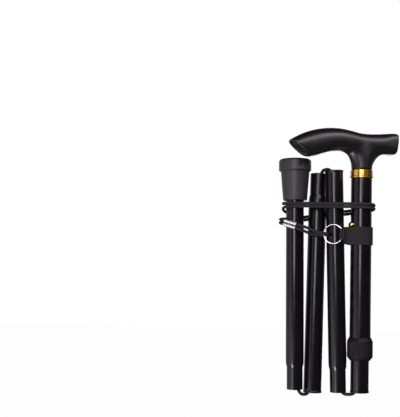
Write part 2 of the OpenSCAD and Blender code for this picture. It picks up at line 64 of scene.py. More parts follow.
# Routes of the strap's cords, point by point as in the solids
WRIST_ROUTE = [
    (-77.05, -9.72, 177), (-78.75, -8.92, 177.6), (-80.45, -8.12, 178.1), (-83.2, -6.2, 178.8),
    (-84.9, -2.6, 179.5), (-84.5, 1.8, 180.2), (-81.9, 6.5, 180.8), (-77.4, 10, 181.2), (-64.5, 15.3, 182.9),
    (-46, 21.8, 186.6), (-4, 14.2, 192), (6, 11.8, 193.4), (11.9, 5.9, 194.6), (13.3, -1, 195.5),
    (10.9, -7.9, 196.1), (5, -12.3, 196.3), (-4, -12.9, 196.3), (-24, -12.4, 196.3), (-66.5, -12.2, 196.4),
    (-75.6, -10.9, 196.5), (-81.5, -5, 196.6), (-82.1, 2, 196.8), (-78.6, 8.7, 197.4), (-74, 11.4, 198),
    (-69.5, 12.3, 198.1), (-65.1, 12.8, 196.3), (-63.3, 13, 191.9), (-65.1, 12.8, 187.5),
    (-69.5, 12.3, 185.7), (-74, 11.4, 186.1), (-78.6, 8.7, 187.6), (-82.1, 2, 190), (-81.5, -5, 192),
    (-75.8, -10.9, 193), (-66.5, -12.2, 193.25), (-24, -12.4, 193.15), (-4, -12.9, 193.05),
    (5, -12.3, 192.85), (10.9, -7.9, 192.5), (13.3, -1, 191.9), (11.9, 5.9, 191.1), (6, 11.8, 190),
    (-4, 14.2, 188.7), (-46, 21.8, 183.3), (-64.5, 15.3, 179.6), (-77.4, 9.9, 177.9), (-82.2, 6.3, 177.3),
    (-84.9, 1.6, 176.6), (-85.2, -2.4, 176), (-84, -5.56, 175.3), (-81.43, -7.72, 174.5),
    (-79.68, -8.54, 174), (-77.95, -9.38, 173.4)]
TETHER_ROUTE = [
    (-72.15, -12.02, 175.4), (-69.95, -13.02, 174.8), (-67.75, -14.12, 174.1), (-61.5, -16.9, 172.1),
    (-54, -18.8, 169.2), (-47, -19.5, 166.4), (-41.5, -19.05, 165), (-37.1, -17.25, 164.4),
    (-35.3, -12.85, 164), (-37.1, -8.45, 163.7), (-41.5, -6.65, 163.5), (-47.6, -7.9, 163.6),
    (-54.5, -11.7, 165), (-61.5, -14.4, 167.9), (-65.2, -14.6, 169.4), (-68.65, -13.68, 170.5),
    (-70.85, -12.68, 171.2), (-73.05, -11.58, 171.9)]
LINK_WAY = np.array([
    (0, -1, 0), (0.02, -0.6, 0), (0.13, -0.2, 0), (0.27, 0.06, 0), (0.4, 0.152, 0), (0.6, 0.155, 0.1),
    (0.7, 0.128, 0.45), (0.79, 0.02, 0.85), (0.89, -0.22, 1), (0.98, -0.6, 1), (1, -1, 1)])
LINK_DEPTH = 13.85
WRIST_STEP, TETHER_STEP, LINK_STEP, RUN_STEP = 0.45, 0.4, 0.5, 0.8

# Braids: diameter at the crests, strands each way, length of a turn and depth between the strands
STRAP_CORD, ELASTIC = 3.0, 3.5
PLUMP = 1.07
STRAP_BRAID = {"diameter": STRAP_CORD * PLUMP * MM, "plaits": 4, "pitch": 0.0085, "sides": 20, "relief": 0.09}
ELASTIC_BRAID = {"diameter": ELASTIC * MM, "plaits": 6, "pitch": 0.011, "relief": 0.06}
LINK_SIDES, RUN_SIDES = 28, 24

# Handle: its seat on the tube, its reach and the turn of its tail towards the front
SEAT_Z, HANDLE_RISE = 233.0, 41.6
TAIL_REACH, NOSE_REACH, HANDLE_DEPTH, NECK_D = 84.0, 39.6, 24.4, 21.8
HANDLE_TURN = math.radians(26)
CROWN = 0.6


def row(points):
    """Millimetres above the inner tube's mouth, as metres in the row frame."""
    return (np.asarray(points, float) - (0, 0, GRIP_Z)) * MM


def unit(v):
    """Vectors divided by their lengths."""
    v = np.asarray(v, float)
    return v / np.linalg.norm(v, axis=-1, keepdims=True)


def angles(count, shift=0.0):
    """Even angles round a circle."""
    return 2 * math.pi * (np.arange(count) + shift) / count


def smooth(t):
    """Eased step from 0 to 1."""
    t = np.clip(t, 0, 1)
    return t * t * (3 - 2 * t)


def soft_power(c, power):
    """A cosine or sine drawn towards a square wave by a power below 1, or away from it, sign kept."""
    return np.sign(c) * np.abs(c)**power


def cubic(p, q, d, e, t):
    """Hermite cubic from p to q with end slopes d and e."""
    return ((2 * t**3 - 3 * t**2 + 1) * p + (t**3 - 2 * t**2 + t) * d
            + (3 * t**2 - 2 * t**3) * q + (t**3 - t**2) * e)


def route(points, step):
    """Smooth line through points: each span is a cubic whose slopes follow the chord of its neighbours."""
    p = np.asarray(points, float)
    ahead = np.vstack([p[1:], p[-1:]])
    behind = np.vstack([p[:1], p[:-1]])
    way = unit(ahead - behind)
    spans = []
    for i in range(len(p) - 1):
        run = np.linalg.norm(p[i + 1] - p[i])
        t = np.linspace(0, 1, max(2, round(run / step) + 1))[:-1, None]
        spans.append(cubic(p[i], p[i + 1], run * way[i], run * way[i + 1], t))
    return np.vstack(spans + [p[-1:]])


def table(rows, steps):
    """The rows of a table with a smooth curve through each column."""
    rows = np.asarray(rows, float)
    slope = (np.vstack([rows[1:], rows[-1:]]) - np.vstack([rows[:1], rows[:-1]])) / 2
    t = np.linspace(0, 1, steps + 1)[:-1, None]
    spans = [cubic(rows[i], rows[i + 1], slope[i], slope[i + 1], t) for i in range(len(rows) - 1)]
    return np.vstack(spans + [rows[-1:]])


def points_of(mesh):
    """Places of a mesh's points as one array."""
    co = np.empty(3 * len(mesh.vertices), np.float32)
    mesh.vertices.foreach_get("co", co)
    return co.reshape(-1, 3).astype(float)


def move_points(mesh, points):
    """Puts an array of places into a mesh."""
    mesh.vertices.foreach_set("co", points.astype(np.float32).reshape(-1))


def shade_smooth(mesh):
    """Rounds the shading of all faces."""
    mesh.polygons.foreach_set("use_smooth", np.ones(len(mesh.polygons), bool))


def add_object(name, data):
    """New object in the scene that holds a mesh, a camera or a lamp."""
    made = bpy.data.objects.new(name, data)
    bpy.context.scene.collection.objects.link(made)
    return made


def surface(name, points, across=None, along=None, ring=False):
    """Mesh over a grid of points (rows, columns, 3). Columns close on themselves. Rows do too if ring is
    true, and otherwise a fan closes each end. across and along are the UV of columns and rows."""
    points = np.asarray(points, float)
    n, m = points.shape[:2]
    across = np.linspace(0, 1, m + 1) if across is None else np.asarray(across, float)
    along = np.linspace(0, 1, n + 1) if along is None else np.asarray(along, float)
    i, j = np.meshgrid(np.arange(n if ring else n - 1), np.arange(m), indexing="ij")
    i2, j2 = (i + 1) % n, (j + 1) % m
    quads = np.stack([i * m + j, i2 * m + j, i2 * m + j2, i * m + j2], -1).reshape(-1, 4)
    corner_u = across[np.stack([j, j, j + 1, j + 1], -1)]
    corner_v = along[np.stack([i, i + 1, i + 1, i], -1)]
    quad_uv = np.stack([corner_u, corner_v], -1).reshape(-1, 4, 2)
    verts = points.reshape(-1, 3)
    fans = np.zeros((0, 3), int)
    if not ring:
        a = np.arange(m)
        b = (a + 1) % m
        first = np.stack([np.full(m, len(verts)), a, b], -1)
        last = np.stack([np.full(m, len(verts) + 1), (n - 1) * m + b, (n - 1) * m + a], -1)
        fans = np.vstack([first, last])
        verts = np.vstack([verts, points[[0, -1]].mean(1)])
    tris = np.vstack([quads[:, [0, 1, 2]], quads[:, [0, 2, 3]]])
    corners = verts[tris]
    if np.einsum("ij,ij->", corners[:, 0], np.cross(corners[:, 1], corners[:, 2])) < 0:
        quads, quad_uv, fans = quads[:, ::-1], quad_uv[:, ::-1], fans[:, ::-1]
    loops = np.concatenate([quads.reshape(-1), fans.reshape(-1)])
    uv = np.vstack([quad_uv.reshape(-1, 2), np.zeros((fans.size, 2))])
    counts = np.concatenate([np.full(len(quads), 4), np.full(len(fans), 3)])
    starts = np.concatenate([[0], np.cumsum(counts)[:-1]])
    mesh = bpy.data.meshes.new(name)
    mesh.vertices.add(len(verts))
    move_points(mesh, verts)
    mesh.loops.add(len(loops))
    mesh.loops.foreach_set("vertex_index", loops.astype(np.int32))
    mesh.polygons.add(len(counts))
    mesh.polygons.foreach_set("loop_start", starts.astype(np.int32))
    mesh.update(calc_edges=True)
    shade_smooth(mesh)
    layer = mesh.uv_layers.new(name="UVMap")
    layer.data.foreach_set("uv", uv.astype(np.float32).reshape(-1))
    mesh.validate()
    return add_object(name, mesh)


def joined(name, *pieces):
    """One piece from several."""
    first = pieces[0]
    with bpy.context.temp_override(active_object=first, object=first, selected_objects=list(pieces),
                                   selected_editable_objects=list(pieces)):
        bpy.ops.object.join()
    first.name = first.data.name = name
    return first


def carried(path):
    """Two directions across a path at each of its points, turned along it without twist."""
    path = np.asarray(path, float)
    way = unit(np.gradient(path, axis=0))
    side = np.empty_like(path)
    side[0] = unit(np.cross(way[0], (1, 2, 3)))
    for k in range(1, len(path)):
        side[k] = unit(side[k - 1] - side[k - 1] @ way[k] * way[k])
    return side, np.cross(way, side)


def lengths(path):
    """Distance along a path at each of its points."""
    return np.concatenate([[0], np.cumsum(np.linalg.norm(np.diff(path, axis=0), axis=1))])


def braided(name, path, diameter, plaits, pitch, sides, relief):
    """Round cord whose radius rises where one of two crossing families of strands lies on top:
    r = R (1 - relief + relief * max(a, b)), with a and b the humps of strands wound either way."""
    side, over = carried(path)
    s = lengths(path)
    a = angles(sides)
    turn = 2 * math.pi * s[:, None] / pitch
    right = 0.5 + 0.5 * np.cos(plaits * (a[None] + turn))
    left = 0.5 + 0.5 * np.cos(plaits * (a[None] - turn))
    r = diameter / 2 * (1 - relief + relief * np.maximum(right, left))
    ring = np.cos(a)[None, :, None] * side[:, None] + np.sin(a)[None, :, None] * over[:, None]
    points = path[:, None] + r[..., None] * ring
    return surface(name, points, along=np.append(s, s[-1]) / pitch)


def turned(name, profile, foot, head, sides=96, flutes=None):
    """Closed profile of (radius, height) pairs carried round the line from foot to head. flutes, where
    given, is a depth at each pair and a count: r = radius - depth * (0.5 + 0.5 cos(count * angle))."""
    foot = np.asarray(foot, float)
    axis = unit(np.asarray(head, float) - foot)
    across = unit(np.cross(axis, (0.0, 1.0, 0.0)))
    other = np.cross(axis, across)
    profile = np.asarray(profile, float)
    a = angles(sides)
    ring = np.cos(a)[:, None] * across + np.sin(a)[:, None] * other
    r = np.repeat(profile[:, :1], sides, axis=1)
    if flutes:
        depth, count = flutes
        r = r - depth[:, None] * (0.5 + 0.5 * np.cos(count * a))
    points = foot + profile[:, None, 1:] * axis + r[..., None] * ring[None]
    return surface(name, points, ring=True)


SIDE_SHARE = 0.45


def eased(profile, r, steps=4):
    """Closed outline with each corner rounded: a quadratic arc from r before it to r after it. r is one
    reach, or one for each corner, and no arc takes more than SIDE_SHARE of a side."""
    p = np.asarray(profile, float)
    back = np.roll(p, 1, 0) - p
    on = np.roll(p, -1, 0) - p
    reach_b = np.minimum(r, np.linalg.norm(back, axis=1) * SIDE_SHARE)[:, None]
    reach_o = np.minimum(r, np.linalg.norm(on, axis=1) * SIDE_SHARE)[:, None]
    a, b = p + unit(back) * reach_b, p + unit(on) * reach_o
    t = np.linspace(0, 1, steps + 1)[None, :, None]
    arcs = (1 - t)**2 * a[:, None] + 2 * t * (1 - t) * p[:, None] + t**2 * b[:, None]
    return arcs.reshape(-1, 2)


class Socket:
    """An output of a material's node tree. Sums, products and the like of it add Math nodes."""

    def __init__(self, tree, socket):
        self.tree = tree
        self.socket = socket

    def node(self, kind, settings=None, inputs=None, output=0):
        """Any node: its settings first, then the values or links of its sockets."""
        made = self.tree.nodes.new(kind)
        for key, value in (settings or {}).items():
            setattr(made, key, value)
        for key, value in (inputs or {}).items():
            if isinstance(value, Socket):
                self.tree.links.new(value.socket, made.inputs[key])
            else:
                made.inputs[key].default_value = value
        return Socket(self.tree, made.outputs[output])

    def math(self, operation, *values):
        """Math node whose first value is this."""
        return self.node("ShaderNodeMath", {"operation": operation}, dict(enumerate((self,) + values)))

    def __add__(self, other):
        return self.math("ADD", other)

    def __sub__(self, other):
        return self.math("SUBTRACT", other)

    def __rsub__(self, other):
        return (self * -1.0).math("ADD", other)

    def __mul__(self, other):
        return self.math("MULTIPLY", other)

    __radd__ = __add__
    __rmul__ = __mul__

    def split(self):
        """The three parts of this place."""
        made = self.node("ShaderNodeSeparateXYZ", {}, {0: self})
        outs = made.socket.node.outputs
        return [Socket(self.tree, outs[k]) for k in range(3)]

    def mix(self, a, b):
        """Colour a where this is 0 and b where it is 1."""
        return self.node("ShaderNodeMix", {"data_type": "RGBA"}, {0: self, 6: a, 7: b}, 2)

    def placed(self, **inputs):
        """This place turned or stretched."""
        return self.node("ShaderNodeMapping", {}, {"Vector": self, **inputs})

    def noise(self, scale, detail, stretch=None):
        """Soft noise at this place, drawn out where stretch is small."""
        place = self.placed(Scale=stretch) if stretch else self
        return self.node("ShaderNodeTexNoise", {}, {"Vector": place, "Scale": scale, "Detail": detail})

    def band(self, low, high):
        """0 at low, 1 at high, straight between them."""
        return self.node("ShaderNodeMapRange", {"clamp": True}, {0: self, 1: low, 2: high})


# Ranges that the finishes use: of cloudy noise, of the mould line in metres, and of painted shade on a sleeve
CLOUD, MOULD_LINE, SLEEVE_SHADE = (0.3, 0.75), (0.00004, 0.00022), (0.45, 0.80)
PLAITED_WAVES, WARP_WAVES, WEFT_WAVES = 25.13, 2900.0, 3700.0


def finish_of(name, build, **constants):
    """Material whose build function gets the Object and UV coordinates and returns varying inputs."""
    material = bpy.data.materials.new(name)
    material.use_nodes = True
    tree = material.node_tree
    shader = tree.nodes["Principled BSDF"]
    for key, value in constants.items():
        shader.inputs[key.replace("_", " ")].default_value = value
    coords = tree.nodes.new("ShaderNodeTexCoord")
    place = Socket(tree, coords.outputs["Object"])
    cloth = Socket(tree, coords.outputs["UV"])
    for key, value in build(place, cloth).items():
        if key == "Bump":
            height, strength, distance = value
            value = place.node("ShaderNodeBump", {}, {"Height": height, "Strength": strength,
                                                      "Distance": distance})
            key = "Normal"
        tree.links.new(value.socket, shader.inputs[key])
    return material


def moulded(place, cloth):
    """Satin plastic: fine grain, cloudy gloss and a mould line along the handle's middle."""
    grain = place.noise(2600.0, 2.0)
    cloud = place.noise(55.0, 3.0)
    across = place.placed(Rotation=(0, 0, -HANDLE_TURN)).split()[1]
    seam = across.math("ABSOLUTE").band(*MOULD_LINE)
    return {"Base Color": cloud.mix((0.0042, 0.0033, 0.0045, 1), (0.0066, 0.0053, 0.0070, 1)),
            "Roughness": cloud.band(*CLOUD) * 0.06 + 0.30,
            "Bump": (grain * 0.5 + seam * 1.5, 0.22, 0.00005)}


def nut_grip(place, cloth):
    """Matt plastic with a coarser grain."""
    grain = place.noise(1700.0, 3.0)
    cloud = place.noise(90.0, 3.0)
    return {"Base Color": cloud.mix((0.0032, 0.0026, 0.0034, 1), (0.0056, 0.0046, 0.0058, 1)),
            "Roughness": cloud.band(*CLOUD) * 0.12 + 0.50,
            "Bump": (grain, 0.30, 0.00007)}


def painted(place, cloth):
    """Gloss paint over drawn tube: fine lines along it, specks and a faint cloud."""
    drawn = place.noise(900.0, 3.0, (1.0, 1.0, 0.012))
    speck = place.noise(5200.0, 1.0)
    cloud = place.noise(38.0, 2.0)
    return {"Base Color": cloud.mix((0.0026, 0.0020, 0.0031, 1), (0.0044, 0.0035, 0.0052, 1)),
            "Roughness": drawn.band(0.35, 0.7) * 0.05 + cloud.band(0.3, 0.7) * 0.04 + 0.13,
            "Bump": (drawn * 0.7 + speck * 0.3, 0.08, 0.00002)}


def gilded(place, cloth):
    """Polished gilt with faint lathe lines round it."""
    lathe = place.noise(1500.0, 2.0, (0.05, 0.05, 1.0))
    cloud = place.noise(160.0, 3.0)
    return {"Base Color": cloud.mix((0.90, 0.49, 0.075, 1), (0.98, 0.61, 0.120, 1)),
            "Roughness": cloud.band(*CLOUD) * 0.05 + lathe * 0.04 + 0.18,
            "Bump": (lathe, 0.04, 0.00002)}


def bright(place, cloth):
    """Plated steel with light scuffs."""
    scuff = place.noise(2400.0, 3.0)
    cloud = place.noise(230.0, 3.0)
    return {"Base Color": cloud.mix((0.70, 0.69, 0.70, 1), (0.84, 0.83, 0.84, 1)),
            "Roughness": cloud.band(*CLOUD) * 0.08 + 0.22,
            "Bump": (scuff, 0.03, 0.00001)}


def pressed(place, cloth):
    """Soft pressed metal: a satin face with fine scratches along it, and painted shade: dark lines along each
    sleeve where the two sleeves meet and on the far side.
    """
    scratch = place.noise(1900.0, 3.0, (0.12, 1.0, 1.0))
    cloud = place.noise(260.0, 3.0)
    round_sleeve = cloth.split()[0] * (2 * math.pi)
    # Painted shade: the colour goes dark along each sleeve on the side facing the other sleeve and on the
    # opposite side
    unshaded = round_sleeve.math("SINE").math("ABSOLUTE").band(*SLEEVE_SHADE)
    metal = cloud.mix((0.90, 0.88, 0.89, 1), (0.96, 0.94, 0.95, 1))
    return {"Base Color": unshaded.mix((0.035, 0.030, 0.034, 1), metal),
            "Roughness": cloud.band(*CLOUD) * 0.05 + scratch * 0.04 + 0.36,
            "Bump": (scratch, 0.04, 0.00001)}


def rubber(place, cloth):
    """Matt rubber: pores and a dusty cloud."""
    pore = place.noise(3000.0, 3.0)
    cloud = place.noise(70.0, 4.0)
    return {"Base Color": cloud.mix((0.0125, 0.0110, 0.0132, 1), (0.0182, 0.0162, 0.0192, 1)),
            "Roughness": cloud.band(*CLOUD) * 0.10 + 0.36,
            "Bump": (pore, 0.30, 0.00008)}


def plaited(place, cloth):
    """Braid: strands that cross, each a hump along its own spiral, and loose fibre."""
    u, v, _ = cloth.split()
    right = ((u + v) * PLAITED_WAVES).math("SINE")
    left = ((u - v) * PLAITED_WAVES).math("SINE")
    strand = (right * left).band(-1.0, 1.0)
    fibre = place.noise(5200.0, 2.0)
    shade = strand * 0.6 + fibre * 0.4
    return {"Base Color": shade.mix((0.0055, 0.0052, 0.0062, 1), (0.024, 0.0228, 0.0255, 1)),
            "Roughness": fibre * 0.15 + 0.70,
            "Bump": (strand * 0.7 + fibre * 0.5, 0.6, 0.00018)}


def woven(place, cloth):
    """Webbing: warp and weft that cross, ribs across the strip and fuzz."""
    u, v, _ = cloth.split()
    warp = (u * WARP_WAVES).math("SINE")
    weft = (v * WEFT_WAVES).math("SINE")
    weave = (warp * weft).band(-1.0, 1.0)
    rib = weft.math("ABSOLUTE")
    fuzz = place.noise(4200.0, 3.0)
    shade = weave * 0.6 + fuzz * 0.4
    return {"Base Color": shade.mix((0.0055, 0.0052, 0.0060, 1), (0.0175, 0.0165, 0.0185, 1)),
            "Roughness": fuzz * 0.12 + 0.74,
            "Bump": (weave * 0.5 + rib * 0.4 + fuzz * 0.35, 0.6, 0.00022)}


PLASTIC = finish_of("moulded_black", moulded, IOR=1.45)
NUT = finish_of("nut_black", nut_grip, IOR=1.28)
PAINT = finish_of("black_paint", painted, IOR=1.46)
GILT = finish_of("gilt_brass", gilded, Metallic=1.0)
STEEL = finish_of("bright_steel", bright, Metallic=1.0)
CRIMP = finish_of("pressed_metal", pressed, Metallic=1.0)
RUBBER = finish_of("tip_rubber", rubber, IOR=1.55)
CORD = finish_of("braided_cord", plaited, IOR=1.30)
WEBBING = finish_of("woven_webbing", woven, IOR=1.30)
FINISHES = {
    "handle_plastic": PLASTIC, "black_tube": PAINT, "gilt": GILT, "bright_steel": STEEL,
    "tip_rubber": RUBBER, "webbing": WEBBING, "cord": CORD}


def dress(piece, material):
    """Gives a piece one material."""
    piece.data.materials.clear()
    piece.data.materials.append(material)


def place_piece(piece, body, slot_name, *nodes, finish=None):
    """Gives a new piece its finish, the one named by its slot unless another is given, and its body, and lets
    it stand for the nodes that it replaces.
    """
    dress(piece, finish or FINISHES[slot_name])
    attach(piece, body)
    if nodes:
        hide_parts(*nodes)
    return piece


for part in frame["record"]["subparts"]:
    dress(NODES[part["node"]], FINISHES[part["material_slot"]])
for name in ("lock_bushing", "cord_anchor_upper", "cord_anchor_lower"):
    dress(NODES[name], NUT)

# Camera
YAW, PITCH, ROLL = math.radians(6.081), math.radians(3.1831), math.radians(1.1211)
CAMERA_PLACE = (-0.044913, -0.85, (120.947 - GRIP_Z) * MM)
SENSOR, LENS, SHIFT_X, SHIFT_Y = 36.0, 68.885, -0.08, 0.05
eye = bpy.data.cameras.new("view")
eye.sensor_width = SENSOR
eye.lens = LENS
eye.shift_x = SHIFT_X
eye.shift_y = SHIFT_Y
camera = add_object("view", eye)
camera.matrix_world = (Matrix.Translation(CAMERA_PLACE) @ Matrix.Rotation(YAW, 4, "Z")
                       @ Matrix.Rotation(math.pi / 2 + PITCH, 4, "X") @ Matrix.Rotation(ROLL, 4, "Z"))
bpy.context.scene.camera = camera


def gather(piece):
    """Gives a piece of the strap a mesh of its own."""
    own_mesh(piece)


wrist_path = row(route(WRIST_ROUTE, WRIST_STEP))
wrist = braided("wrist_loop", wrist_path, **STRAP_BRAID)
place_piece(wrist, "handle_section", "cord", "wrist_cord")
tether_path = row(route(TETHER_ROUTE, TETHER_STEP))
tether = braided("tether_loop", tether_path, **STRAP_BRAID)
place_piece(tether, "handle_section", "cord", "wrist_tether")

CRIMP_MID, CRIMP_LEN, BARREL_R, BARREL_BORE = (-74.6, -10.9, 174.3), 14.6, 2.05, 1.78
SLEEVE_GAP, DENT, DENT_REACH, RIM_ROUND = 0.01, 0.03, 0.9, 0.12
SLEEVE_ROWS, SLEEVE_SIDES = 49, 48
SLOPE, SIDE_TURN = math.radians(16 - 90), math.radians(-25)


def crimp_barrel(name, side):
    """One pressed sleeve: a tube with a dent round it at a quarter and at three quarters of its length."""
    tilt = np.array(Matrix.Rotation(SIDE_TURN, 3, "Z") @ Matrix.Rotation(SLOPE, 3, "Y"))
    way, across = tilt[:, 2], tilt[:, 0]
    s = np.linspace(0, CRIMP_LEN, SLEEVE_ROWS)
    end = np.minimum(s, CRIMP_LEN - s)
    dent = DENT * np.exp(-((np.abs(s - CRIMP_LEN / 2) - CRIMP_LEN / 4) / DENT_REACH)**2)
    r = BARREL_R - dent - RIM_ROUND * np.exp(-end / RIM_ROUND)
    profile = np.vstack([np.stack([r, s], -1), [(BARREL_BORE, CRIMP_LEN), (BARREL_BORE, 0)]])
    foot = np.array(CRIMP_MID) - way * CRIMP_LEN / 2 + across * side * (BARREL_R + SLEEVE_GAP)
    return turned(name, profile * MM, row(foot), row(foot + way), SLEEVE_SIDES)


crimp = joined("crimp_sleeves", crimp_barrel("crimp_a", -1), crimp_barrel("crimp_b", 1))
place_piece(crimp, "handle_section", "bright_steel", "cord_crimp", finish=CRIMP)
gather(wrist)
gather(tether)
gather(crimp)

# Elastic cord: links across the folds, and straight runs in the tubes that may end in a knot
RUN_START, KNOT_R, KNOT_FIT, CORE_SHARE = 14.5, 4.5, 0.97, 0.4
TINY = 1e-7


def link_path(end_a, way_a, end_b, way_b):
    """Line from a mouth to a male end: shares of the way across, of a depth along each tube's own axis, and
    of the mouth's stand over the male end that is left behind."""
    end_a, end_b, way_a, way_b = (np.asarray(v, float) for v in (end_a, end_b, unit(way_a), unit(way_b)))
    share, depth, left = LINK_WAY[:, :1], LINK_WAY[:, 1:2] * LINK_DEPTH, LINK_WAY[:, 2:]
    stand = max(0, (end_a - end_b) @ way_a)
    points = ((1 - share) * (end_a + depth * way_a) + share * (end_b + depth * way_b)
              + (share - left) * stand * way_a)
    return row(route(points, LINK_STEP))


def outward(end, other):
    """Direction out of a tube at one of its ends."""
    return np.asarray(end, float) - np.asarray(other, float)


LINKS = {
    1: (MOUTH_1, (0, 0, -1), FOOT_2, outward(FOOT_2, HEAD_2)),
    2: (HEAD_2, outward(HEAD_2, FOOT_2), HEAD_3, outward(HEAD_3, FOOT_3)),
    3: (FOOT_3, outward(FOOT_3, HEAD_3), FOOT_4, outward(FOOT_4, HEAD_4))}
for k, ends in LINKS.items():
    link = braided(f"elastic_link_{k}", link_path(*ends), sides=LINK_SIDES, **ELASTIC_BRAID)
    place_piece(link, f"link_{k}", "cord", f"cord_link_{k}")
    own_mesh(link)


def elastic_run(name, foot, head, stop, knot):
    """Straight run of the elastic cord. Round a knot's middle c its radius swells to a ball of radius k,
    r = sqrt(k^2 - (s - c)^2), outside the cord's core."""
    foot, head = np.asarray(foot, float), np.asarray(head, float)
    way = unit(head - foot)
    s = np.arange(RUN_START, stop, RUN_STEP)
    piece = braided(name, row(foot + s[:, None] * way), sides=RUN_SIDES, **ELASTIC_BRAID)
    if knot:
        co = points_of(piece.data)
        at = (co - row(foot)) @ way
        axis = row(foot) + at[:, None] * way
        off = co - axis
        r = np.maximum(np.linalg.norm(off, axis=1), TINY)
        ball = np.sqrt(np.maximum((KNOT_R * MM)**2 - (at - knot * MM)**2, 0)) * KNOT_FIT
        swell = np.where(r > CORE_SHARE * ELASTIC / 2 * MM, np.maximum(1, ball / r), 1)
        move_points(piece.data, axis + off * swell[:, None])
    return piece


RUNS = {
    1: ("inner_section", MOUTH_1, (0, 0, SECTION_LEN), 148.0, 143.6),
    2: ("section_2", FOOT_2, HEAD_2, 218.5, None),
    3: ("section_3", HEAD_3, FOOT_3, 218.5, None),
    4: ("section_4", FOOT_4, HEAD_4, 171.0, 166.6)}
for k, (body, foot, head, stop, knot) in RUNS.items():
    run = elastic_run(f"elastic_run_{k}", foot, head, stop, knot)
    place_piece(run, body, "cord", f"shock_cord_{k}")

# Lower tubes, as walls with eased edges
TUBE_R, BORE_R, MALE_R, MALE_BORE_R = 9.5, 8.5, 8.4, 7.4
MALE_LEN, SHOULDER, LIP, LIP_LEN = 26.5, 3.0, 0.4, 2.2
EDGE_EASE, SWAGE_EASE, EASE_STEPS = 0.45, 6.0, 8
WALL_EASE = [EDGE_EASE] * 3 + [SWAGE_EASE] + [EDGE_EASE] * 6
PLAIN_LIP = 0.01


def section_wall(lip):
    """Outline of a lower tube's wall: male end, shoulder, plain length and mouth, out and back inside."""
    top = TUBE_R + lip
    return [(MALE_BORE_R, 0), (MALE_R, 0), (MALE_R, MALE_LEN - SHOULDER), (TUBE_R, MALE_LEN),
            (TUBE_R, SECTION_LEN - LIP_LEN), (top, SECTION_LEN - LIP_LEN + LIP), (top, SECTION_LEN),
            (BORE_R, SECTION_LEN), (BORE_R, MALE_LEN), (MALE_BORE_R, MALE_LEN - SHOULDER)]


SECTIONS = ((2, FOOT_2, HEAD_2, LIP), (3, HEAD_3, FOOT_3, LIP), (4, FOOT_4, HEAD_4, PLAIN_LIP))
for k, foot, head, lip in SECTIONS:
    wall = eased(section_wall(lip), WALL_EASE, EASE_STEPS) * MM
    tube = turned(f"lower_tube_{k}", wall, row(foot), row(head))
    place_piece(tube, f"section_{k}", "black_tube", f"tube_{k}")

# Lock nut: chamfered at both ends, with ribs between that fade before a plain ring
NUT_FOOT, NUT_TOP, NUT_R, NUT_BAND_R = 33.0, 57.0, 13.4, 13.1
NUT_BORE, NUT_LIP, NUT_SEAT, NUT_HOLLOW = 9.8, 10.3, 11.3, 12.25
NUT_RIBS, RIB_DEPTH, RIB_ROWS, RIB_FACETS = 36, 0.55, 15, 8
RIBS_ABOVE, RIBS_BELOW, FADE_FOOT, FADE_TOP = 4.5, 4.4, 1.2, 1.0
NUT_EASE, NUT_STEPS, NEAR_RIM = 0.14, 3, 0.05
UPRIGHT = (0, 0, 0), (0, 0, 1)


def nut_wall():
    """Outline of the nut's wall, out and back inside, and the depth of the ribs at each of its points."""
    corners = [(NUT_BORE, NUT_FOOT), (NUT_LIP, NUT_FOOT), (NUT_R, NUT_FOOT + 3.9), (NUT_R, NUT_TOP - 4.1),
               (NUT_BAND_R, NUT_TOP - 3.9), (NUT_BAND_R, NUT_TOP - 3.6), (NUT_SEAT + 0.25, NUT_TOP),
               (NUT_SEAT, NUT_TOP), (NUT_SEAT, NUT_TOP - 2.2), (NUT_HOLLOW, NUT_TOP - 4.2),
               (NUT_HOLLOW, NUT_FOOT + 5.2), (NUT_BORE, NUT_FOOT + 5.2)]
    corners = eased(corners, NUT_EASE, NUT_STEPS)
    low, high = NUT_FOOT + RIBS_ABOVE, NUT_TOP - RIBS_BELOW
    ribbed = np.stack([np.full(RIB_ROWS, NUT_R), np.linspace(low, high, RIB_ROWS)], -1)
    on_rim = corners[:, 0] > NUT_R - NEAR_RIM
    in_foot = corners[:, 1] < (NUT_TOP + NUT_FOOT) / 2
    before = np.flatnonzero(on_rim & in_foot)[-1] + 1
    outline = np.vstack([corners[:before], ribbed, corners[before:]])
    height = outline[:, 1]
    outer = outline[:, 0] > NUT_R - NEAR_RIM
    depth = RIB_DEPTH * smooth((height - low) / FADE_FOOT) * smooth((high - height) / FADE_TOP) * outer
    return outline, depth


nut_outline, nut_depth = nut_wall()
nut = turned("nut_sleeve", nut_outline * MM, *row(UPRIGHT), NUT_RIBS * RIB_FACETS,
             flutes=(nut_depth * MM, NUT_RIBS))
place_piece(nut, "lock_nut", "handle_plastic", "lock_nut", finish=NUT)

# Split ring: two flat turns of wire, one behind the other, with a crossing where the ends meet
RING_MID, RING_R, WIRE, END_GAP = (-29.1005, -12.9509, 164.2), 9.9, 1.0, 0.62
RING_ROWS, WIRE_SIDES, WIRE_SQUARE = 361, 16, 0.6
WIRE_DEEP, TURN_STEP, END_ROUND, END_FACE = 0.9, 0.92, 0.08, 0.05


def ring_wire():
    """Wire of a rounded square section carried along two turns. It steps back once, half way, and its
    ends round off as the square root of the way from them."""
    t = np.linspace(END_GAP, 4 * math.pi - END_GAP, RING_ROWS)
    back = (smooth((t - 2 * math.pi + END_GAP) / (2 * END_GAP)) - 0.5) * TURN_STEP * WIRE
    a = angles(WIRE_SIDES, 0.5)
    out, deep = soft_power(np.cos(a), WIRE_SQUARE), soft_power(np.sin(a), WIRE_SQUARE)
    from_end = np.minimum(t - t[0], t[-1] - t)
    taper = np.minimum(1, np.sqrt(from_end / END_ROUND + END_FACE))[:, None]
    r = RING_R + out * taper * WIRE / 2
    x = RING_MID[0] - np.cos(t)[:, None] * r
    z = RING_MID[2] + np.sin(t)[:, None] * r
    y = RING_MID[1] + back[:, None] + deep * taper * WIRE_DEEP * WIRE / 2
    return np.stack([x, y, z], -1)


ring_piece = surface("key_ring", row(ring_wire()))
place_piece(ring_piece, "split_ring", "bright_steel", "split_ring")

